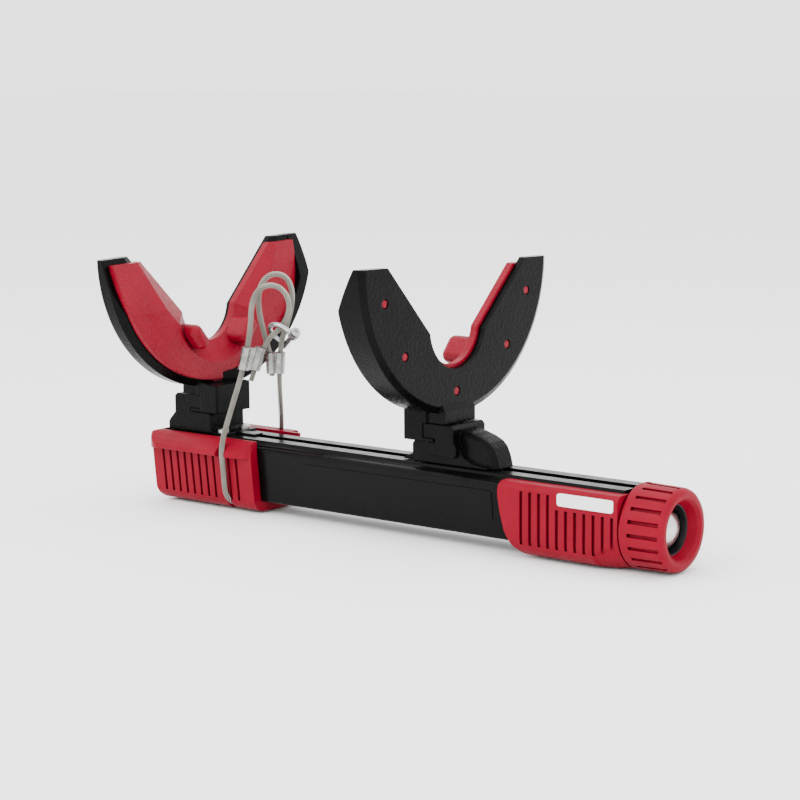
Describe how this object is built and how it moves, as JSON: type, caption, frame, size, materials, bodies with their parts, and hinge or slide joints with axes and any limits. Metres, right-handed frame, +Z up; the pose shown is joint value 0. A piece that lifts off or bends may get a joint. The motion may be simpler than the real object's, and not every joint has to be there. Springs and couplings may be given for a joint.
{
  "type": "coil spring compressor",
  "caption": "Screw-driven coil spring compressor with slotted bar, fixed and sliding brackets, forked seat yokes and a safety cable.",
  "frame": {"origin": "centre of the bounding box at its base", "axes": "+X along the bar toward the hand knob, -Y toward the labelled side, +Z up"},
  "size_m": [0.5045, 0.237, 0.2162],
  "materials": {
    "black_enamel": "satin black enamel",
    "label_black": "gloss black film",
    "red_plastic": "satin red moulding",
    "red_gloss": "red moulding with fine grain",
    "zinc": "zinc plated",
    "black_casting": "black painted casting",
    "steel": "machined",
    "bronze": "machined bronze",
    "spring_steel": "hardened spring steel",
    "bearing_steel": "ground bearing steel",
    "dark_plastic": "dark moulding",
    "white_plate": "plain white",
    "wire_rope": "galvanised twisted rope",
    "alloy": "pressed alloy",
    "bright_chrome": "bright plated"
  },
  "bodies": {
    "frame": {"bar": "black_enamel", "label_plate": "label_black", "foot_cap": "red_plastic", "foot_cap_screws": "zinc", "fixed_bracket": "black_casting", "bracket_bolts": "zinc", "anchor_block": "steel", "end_bush": "bronze", "bearing_plug": "steel", "plug_screws": "zinc", "thrust_race_fixed": "bearing_steel", "thrust_balls": "bearing_steel", "thrust_cage": "bronze", "grip_shell": "red_plastic", "grip_screws": "zinc", "badge_plate": "white_plate", "catch_spring_left": "spring_steel", "safety_cable": "wire_rope", "ferrule_front": "alloy", "ferrule_rear": "alloy", "shackle_bow": "bright_chrome"},
    "carriage_body": {"carriage": "black_casting", "spindle_nut": "bronze", "nut_screws": "zinc", "catch_spring_right": "spring_steel"},
    "spindle_body": {"spindle": "zinc", "circlip": "spring_steel", "thrust_race_turning": "bearing_steel", "hand_knob": "red_plastic", "knob_sleeve": "dark_plastic", "knob_screw": "zinc"},
    "left_yoke_body": {"left_yoke": "black_casting", "left_insert": "red_gloss"},
    "right_yoke_body": {"right_yoke": "black_casting", "right_insert": "red_gloss"},
    "left_catch": {"catch_ball_left": "bearing_steel"},
    "right_catch": {"catch_ball_right": "bearing_steel"},
    "pin_body": {"shackle_pin": "bright_chrome"}
  },
  "joints": [
    {"name": "carriage_slide", "type": "slide", "parent": "frame", "child": "carriage_body", "axis": [1, 0, 0], "range_m": [-0.105, 0.064]},
    {"name": "spindle_spin", "type": "hinge", "parent": "frame", "child": "spindle_body", "pos_m": [0, 0, 0.0318], "axis": [1, 0, 0], "range_deg": [-9600, 5900]},
    {"name": "left_yoke_slide", "type": "slide", "parent": "frame", "child": "left_yoke_body", "axis": [0, -1, 0], "range_m": [0, 0.042]},
    {"name": "right_yoke_slide", "type": "slide", "parent": "carriage_body", "child": "right_yoke_body", "axis": [0, -1, 0], "range_m": [0, 0.042]},
    {"name": "left_catch_press", "type": "slide", "parent": "frame", "child": "left_catch", "axis": [-1, 0, 0], "range_m": [0, 0.0008], "stiffness_N_per_m": 2000, "springref_m": -0.0005},
    {"name": "right_catch_press", "type": "slide", "parent": "carriage_body", "child": "right_catch", "axis": [1, 0, 0], "range_m": [0, 0.0008], "stiffness_N_per_m": 2000, "springref_m": -0.0005},
    {"name": "shackle_pin_draw", "type": "slide", "parent": "frame", "child": "pin_body", "axis": [0.7817, -0.3527, 0.5143], "range_m": [0, 0.016]}
  ],
  "couplings": [
    {"joint": "spindle_spin", "follows": "carriage_slide", "rad_per_m": 1570.8}
  ]
}
